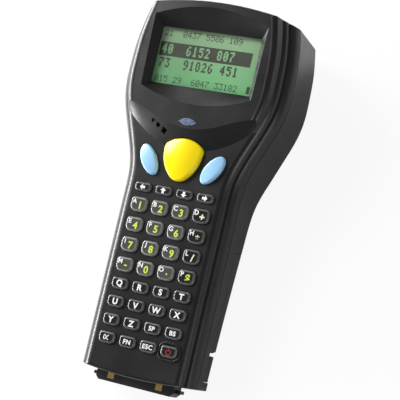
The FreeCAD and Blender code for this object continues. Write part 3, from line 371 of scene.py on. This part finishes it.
DOT_COLUMNS = 128
DOT_ROWS = 64
screen = np.zeros((DOT_ROWS, DOT_COLUMNS), bool)
screen[2:9, 2:104] = figure_rows("21  0437 5586 109", False)
screen[16:32, 0:119] = True
screen[18:29, 3:99] = ~figure_rows("40  6152 807", True)
screen[34:45, 3:107] = figure_rows("73  91826 451", True)
screen[54:61, 2:110] = figure_rows("015 29  6047 33182", False)
screen[53:61, 121:125] = True

CUBE = np.array([(0, 0, 0), (1, 0, 0), (1, 1, 0), (0, 1, 0),
                 (0, 0, 1), (1, 0, 1), (1, 1, 1), (0, 1, 1)], float)
CUBE_FACES = np.array([(0, 3, 2, 1), (4, 5, 6, 7), (0, 1, 5, 4),
                       (1, 2, 6, 5), (2, 3, 7, 6), (3, 0, 4, 7)])
DOT_FILL = 0.98
DOT_RISE = 0.02

rows_on, columns_on = np.nonzero(screen)
dot_wide = 2 * SCREEN_HALF_W / DOT_COLUMNS
dot_high = (SCREEN_TOP_Y - SCREEN_LOW_Y) / DOT_ROWS
corner = np.stack([-SCREEN_HALF_W + columns_on * dot_wide,
                   SCREEN_TOP_Y - (rows_on + 1) * dot_high,
                   np.full(len(rows_on), PANEL_Z)], 1)
dot_points = corner[:, None] + CUBE * [DOT_FILL * dot_wide, DOT_FILL * dot_high, DOT_RISE]
dot_faces = (np.arange(len(corner)) * len(CUBE))[:, None, None] + CUBE_FACES
dots_mesh = bpy.data.meshes.new("lcd_dots")
dots_mesh.from_pydata(placed(dot_points.reshape(-1, 3)).tolist(), [],
                      dot_faces.reshape(-1, 4).tolist())
dots_mesh.materials.append(moulded("dot_brown", (0.022, 0.024, 0.012), 0.4, 0.0004, 0.000001))
add_piece("lcd_dots", dots_mesh, "casing")


# Status light
# A leaf-shaped lens of smoky clear plastic, streaked inside. It is set in the surround of the
# display, and its stem carries the light up from the board.
smoky_lens = moulded("smoky_lens", (0.13, 0.17, 0.25), 0.12, 0.0009, 0.00002, 0.6)
dress(smoky_lens, "status_light")


# Small keys
# Glossy caps that stand through the face, each held by a collar under it. A lighter rim runs
# round the top, which is grey on the figure keys and black on the rest, and carries raised
# printed legends.
KEY_TOP_Z = 1.2
KEY_RIM_Z = 0.45
KEY_RIM_IN = 0.85
KEY_RIM_STEPS = 7
KEY_CORNER_STEPS = 9
COLLAR_OUT = 0.6
COLLAR_LOW_Z = -2.72
COLLAR_TOP_Z = -1.92
SHARP_EDGE = math.radians(32)
LEGEND_RISE = 0.03


def key_outline(x, y, wide, high, upper, lower):
    """Rounded rectangle, anticlockwise: each corner's centre + radius (cos a, sin a)."""
    turns = np.linspace(0, np.pi / 2, KEY_CORNER_STEPS)
    corners = ((-1, -1, lower, 2), (1, -1, lower, 3), (1, 1, upper, 0), (-1, 1, upper, 1))
    points = []
    normals = []
    for side, end, radius, quarter in corners:
        angle = turns + quarter * np.pi / 2
        outward = np.stack([np.cos(angle), np.sin(angle)], 1)
        middle = np.array([x + side * (wide / 2 - radius), y + end * (high / 2 - radius)])
        points.append(middle + radius * outward)
        normals.append(outward)
    return np.concatenate(points), np.concatenate(normals)


def ring(points, z):
    """The plan outline as points (x, y, z) at one height, or at a height for each point."""
    return np.column_stack([points, np.broadcast_to(z, len(points))])


def carried(rings):
    """Closed surface through rings (levels, count, 3): quads between neighbours, and two caps."""
    levels, count = rings.shape[:2]
    here = np.arange(count)
    after = np.roll(here, -1)
    low = (np.arange(levels - 1) * count)[:, None]
    sides = np.stack([low + here, low + after, low + count + after, low + count + here], 2)
    faces = sides.reshape(-1, 4).tolist()
    faces += [here[::-1].tolist(), (here + (levels - 1) * count).tolist()]
    return rings.reshape(-1, 3), faces


def made(name, points, faces, materials, choice=None):
    """Mesh from points in the keypad face's mm, with a material number for each face."""
    mesh = bpy.data.meshes.new(name)
    mesh.from_pydata(placed(points).tolist(), [], faces)
    for material in materials:
        mesh.materials.append(material)
    if choice is not None:
        mesh.polygons.foreach_set("material_index", np.asarray(choice, np.int32))
    mesh.shade_smooth()
    mesh.set_sharp_from_angle(angle=SHARP_EDGE)
    return mesh


def flat_words(words, size, bold, x, y):
    """Raised outlines of the words, their box centred on (x, y), as points in mm and faces."""
    curve = bpy.data.curves.new("words", "FONT")
    curve.body = words
    curve.size = size
    curve.align_x = "CENTER"
    curve.align_y = "CENTER"
    curve.offset = bold
    curve.space_character = 1.12
    curve.extrude = LEGEND_RISE
    curve.resolution_u = 4
    holder = bpy.data.objects.new("words", curve)
    bpy.context.scene.collection.objects.link(holder)
    bpy.context.view_layer.update()
    shaped = holder.evaluated_get(bpy.context.evaluated_depsgraph_get())
    mesh = bpy.data.meshes.new_from_object(shaped)
    form = bmesh.new()
    form.from_mesh(mesh)
    bmesh.ops.remove_doubles(form, verts=form.verts, dist=1e-4)
    form.to_mesh(mesh)
    form.free()
    points = np.empty(len(mesh.vertices) * 3)
    mesh.vertices.foreach_get("co", points)
    points = points.reshape(-1, 3)
    middle = (points.min(0) + points.max(0)) / 2
    faces = [list(polygon.vertices) for polygon in mesh.polygons]
    bpy.data.objects.remove(holder)
    bpy.data.curves.remove(curve)
    bpy.data.meshes.remove(mesh)
    return points - middle + [x, y, KEY_TOP_Z], faces


STROKE_WIDTH = 0.36


def stroke(path, x, y):
    """Raised line: a rectangle carried along the path, p +- n width / 2 across, n its normal."""
    path = np.asarray(path, float)
    along = np.gradient(path, axis=0)
    along /= np.linalg.norm(along, axis=1)[:, None]
    across = np.stack([-along[:, 1], along[:, 0]], 1) * STROKE_WIDTH / 2
    rings = np.stack([ring(path + across, -LEGEND_RISE), ring(path + across, LEGEND_RISE),
                      ring(path - across, LEGEND_RISE), ring(path - across, -LEGEND_RISE)], 1)
    points, faces = carried(rings)
    return points + [x, y, KEY_TOP_Z], faces


ARROW_SIZE = 0.84
ARROW = np.array([(-0.62, -1.35), (0.62, -1.35), (0.62, 0.05), (1.6, 0.05),
                  (0.0, 1.5), (-1.6, 0.05), (-0.62, 0.05)])


def arrow(quarters, x, y):
    """Raised arrow that points up, turned by so many quarters anticlockwise."""
    angle = quarters * np.pi / 2
    turn = np.array([[np.cos(angle), np.sin(angle)], [-np.sin(angle), np.cos(angle)]])
    points, faces = carried(np.stack([ring(ARROW_SIZE * ARROW @ turn, -LEGEND_RISE),
                                      ring(ARROW_SIZE * ARROW @ turn, LEGEND_RISE)]))
    return points + [x, y, KEY_TOP_Z], faces


ARROWS = {"up": 0, "left": 1, "down": 2, "right": 3}
WORDS = {"space": "SP", "backspace": "BS", "function": "FN", "escape": "ESC"}
SHIFTED = {"1": "1A", "2": "2B", "3": "3C", "plus": "+D",
           "4": "4E", "5": "5F", "6": "6G", "times": "*H",
           "7": "7I", "8": "8J", "9": "9K", "divide": "/L",
           "minus": "-M", "0": "0N", "point": ".O", "dollar": "$P"}
CREAM_SIGNS = "plus times divide".split()
WHITE, GREEN, RED, CREAM = range(4)


def key_legend(name, x, y):
    """Parts of a key's legend: points, faces and the number of their colour."""
    if name in ARROWS:
        return [(*arrow(ARROWS[name], x, y - 0.05), WHITE)]
    if name == "alpha":
        sweep = np.linspace(0.2, 1.8, 41) * np.pi
        loop = np.stack([1.25 * np.cos(sweep), 0.9 * np.sin(2 * sweep)], 1)
        return [(*stroke(loop, x, y), WHITE)]
    if name == "power":
        sweep = np.radians(np.linspace(125, 415, 33))
        circle = np.stack([1.05 * np.cos(sweep), 1.05 * np.sin(sweep)], 1)
        return [(*stroke(circle, x, y - 0.15), RED),
                (*stroke([(0, 0.3), (0, 1.5)], x, y - 0.15), RED)]
    if name in WORDS:
        return [(*flat_words(WORDS[name], 2.7, 0.09, x, y), WHITE)]
    if name in SHIFTED:
        figure, letter = SHIFTED[name]
        colour = CREAM if name in CREAM_SIGNS else GREEN
        return [(*flat_words(figure, 4.2, 0.13, x + 0.8, y - 0.35), colour),
                (*flat_words(letter, 2.7, 0.08, x - 1.95, y + 1.2), WHITE)]
    return [(*flat_words(name.upper(), 3.5, 0.13, x, y), WHITE)]


def joined(parts):
    """Parts as one: points, faces whose numbers go on from the last part's, and face colours."""
    start = 0
    faces = []
    colours = []
    for part_points, part_faces, colour in parts:
        faces += [[start + number for number in face] for face in part_faces]
        colours += [colour] * len(part_faces)
        start += len(part_points)
    return np.concatenate([part[0] for part in parts]), faces, colours


COLUMN_PITCH = 9.7
GREY_KEYS = "1 2 3 4 5 6 7 8 9 minus 0 point".split()
ARROW_KEY = (7.5, 3.9, 1.2, 1.8)
NUMBER_KEY = (7.6, 6.2, 1.6, 2.6)
LETTER_KEY = (7.5, 4.9, 1.3, 2.2)
KEY_ROWS = [(32.9, ARROW_KEY, "left up down right"), (25.3, NUMBER_KEY, "1 2 3 plus"),
            (16.6, NUMBER_KEY, "4 5 6 times"), (7.9, NUMBER_KEY, "7 8 9 divide"),
            (-0.8, NUMBER_KEY, "minus 0 point dollar"), (-9.0, LETTER_KEY, "q r s t"),
            (-16.7, LETTER_KEY, "u v w x"), (-24.4, LETTER_KEY, "y z space backspace"),
            (-32.1, LETTER_KEY, "alpha function escape power")]

print_white = moulded("print_white", (0.82, 0.83, 0.82), 0.5, 0.0002, 0.000001)
print_green = moulded("print_green", (0.56, 0.66, 0.05), 0.5, 0.0002, 0.000001)
print_red = moulded("print_red", (0.3, 0.008, 0.012), 0.5, 0.0002, 0.000001)
print_cream = moulded("print_cream", (0.8, 0.78, 0.5), 0.5, 0.0002, 0.000001)
prints = [print_white, print_green, print_red, print_cream]
grey_rim = moulded("grey_rim", (0.2, 0.2, 0.19), 0.2, 0.0004, 0.000002)
grey_top = moulded("grey_top", (0.062, 0.062, 0.06), 0.24, 0.0004, 0.000002)
black_rim = moulded("black_rim", (0.1, 0.1, 0.1), 0.2, 0.0004, 0.000002)
black_top = moulded("black_top", (0.009, 0.009, 0.009), 0.22, 0.0004, 0.000002)

# Each level of a cap is how far it stands out of the key's outline, and its height: up the
# collar, in to the outline, and over the rim in a quarter of an ellipse.
rim_turns = np.linspace(0, np.pi / 2, KEY_RIM_STEPS)
cap_levels = [(COLLAR_OUT, COLLAR_LOW_Z), (COLLAR_OUT, COLLAR_TOP_Z), (0.0, COLLAR_TOP_Z)]
cap_levels += [(-KEY_RIM_IN * (1 - math.cos(turn)),
                KEY_RIM_Z + (KEY_TOP_Z - KEY_RIM_Z) * math.sin(turn)) for turn in rim_turns]

for row_y, size, names in KEY_ROWS:
    for column, name in enumerate(names.split()):
        key_x = (column - 1.5) * COLUMN_PITCH
        outline, outward = key_outline(key_x, row_y, *size)
        points, faces = carried(np.stack([ring(outline + out * outward, z) for out, z in cap_levels]))
        choice = np.zeros(len(faces))
        choice[-1] = 1
        grey = name in GREY_KEYS
        materials = [grey_rim, grey_top] if grey else [black_rim, black_top]
        cap = made("cap_" + name, points, faces, materials, choice)
        add_piece("cap_" + name, cap, "key_" + name + "_body", ["key_" + name])
        points, faces, colours = joined(key_legend(name, key_x, row_y))
        legend = made("legend_" + name, points, faces, prints, colours)
        add_piece("legend_" + name, legend, "key_" + name + "_body")


# Scan key and side keys
# Glossy domed caps of solid-coloured plastic, a yellow shield in the middle and a pale blue
# oval at each side. A collar under the casing's face holds each of them.
def arc_through(first, middle, last, count=12):
    """Points c + r (cos a, sin a) of the circle through three points, all but the last."""
    (ax, ay), (bx, by), (cx, cy) = first, middle, last
    double = 2 * (ax * (by - cy) + bx * (cy - ay) + cx * (ay - by))
    a, b, c = ax * ax + ay * ay, bx * bx + by * by, cx * cx + cy * cy
    centre = np.array([(a * (by - cy) + b * (cy - ay) + c * (ay - by)) / double,
                       (a * (cx - bx) + b * (ax - cx) + c * (bx - ax)) / double])
    angles = [math.atan2(y - centre[1], x - centre[0]) for x, y in (first, middle, last)]
    angles = np.unwrap(angles)
    sweep = np.linspace(angles[0], angles[2], count, endpoint=False)
    radius = math.hypot(ax - centre[0], ay - centre[1])
    return centre + radius * np.stack([np.cos(sweep), np.sin(sweep)], 1)


CAP_RIM_STEPS = 8
CAP_TOP_SHARES = np.linspace(0.9, 0.06, 10)


def domed_cap(name, node, outline, centre, top_z, dome_r, rim, material):
    """Cap under a ball: z = top - R + sqrt(R^2 - d^2), less a quarter-round drop at the rim."""
    ahead = np.roll(outline, -1, 0) - np.roll(outline, 1, 0)
    outward = np.stack([ahead[:, 1], -ahead[:, 0]], 1)
    outward /= np.linalg.norm(outward, axis=1)[:, None]

    def dome(points):
        """Height of the ball over the points, d away from the cap's centre."""
        away = ((points - centre) ** 2).sum(1)
        return top_z - dome_r + np.sqrt(dome_r ** 2 - away)

    rings = [ring(outline + COLLAR_OUT * outward, COLLAR_LOW_Z),
             ring(outline + COLLAR_OUT * outward, COLLAR_TOP_Z), ring(outline, COLLAR_TOP_Z)]
    for turn in np.linspace(0, np.pi / 2, CAP_RIM_STEPS):
        points = outline - rim * (1 - math.cos(turn)) * outward
        rings.append(ring(points, dome(points) - rim * (1 - math.sin(turn))))
    inner = outline - rim * outward
    for share in CAP_TOP_SHARES:
        points = centre + (inner - centre) * share
        rings.append(ring(points, dome(points)))
    points, faces = carried(np.stack(rings))
    mesh = made(name, points, faces, [material])
    add_piece(name, mesh, node + "_body", [node])


SCAN_KEY_AT = np.array([0, 47.5])
SCAN_KEY_TOP_Z = 3.0
SCAN_KEY_DOME_R = 34.0
SCAN_KEY_RIM = 0.9
SHIELD_ARCS = [((7.6, 6.3), (0, 8.8), (-7.6, 6.3)), ((-7.6, 6.3), (-8.75, 4.9), (-8.75, 2.8)),
               ((-8.75, 2.8), (-7.0, -3.8), (-3.9, -8.0)), ((-3.9, -8.0), (0, -9.7), (3.9, -8.0)),
               ((3.9, -8.0), (7.0, -3.8), (8.75, 2.8)), ((8.75, 2.8), (8.75, 4.9), (7.6, 6.3))]

shield = np.concatenate([arc_through(*corners) for corners in SHIELD_ARCS]) + SCAN_KEY_AT
signal_yellow = moulded("signal_yellow", (1.0, 0.76, 0.003), 0.22, 0.0006, 0.000002, 0.03)
domed_cap("yellow_cap", "scan_key", shield, SCAN_KEY_AT, SCAN_KEY_TOP_Z, SCAN_KEY_DOME_R,
          SCAN_KEY_RIM, signal_yellow)

SIDE_KEY_OUT = 14.9
SIDE_KEY_Y = 45.0
SIDE_KEY_HALF_LONG = 7.2
SIDE_KEY_HALF_WIDE = 3.45
SIDE_KEY_LEAN = math.radians(32)
SIDE_KEY_TOP_Z = 2.1
SIDE_KEY_DOME_R = 28.0
SIDE_KEY_RIM = 0.8

pale_blue = moulded("pale_blue", (0.34, 0.62, 0.9), 0.24, 0.0006, 0.000002, 0.03)
around = np.linspace(0, 2 * np.pi, 64, endpoint=False)
oval = np.stack([SIDE_KEY_HALF_LONG * np.cos(around), SIDE_KEY_HALF_WIDE * np.sin(around)], 1)
for hand, side in (("left", -1), ("right", 1)):
    angle = math.pi / 2 - side * SIDE_KEY_LEAN
    turn = np.array([[math.cos(angle), math.sin(angle)], [-math.sin(angle), math.cos(angle)]])
    middle = np.array([side * SIDE_KEY_OUT, SIDE_KEY_Y])
    domed_cap("blue_cap_" + hand, "side_key_" + hand, oval @ turn + middle, middle,
              SIDE_KEY_TOP_Z, SIDE_KEY_DOME_R, SIDE_KEY_RIM, pale_blue)
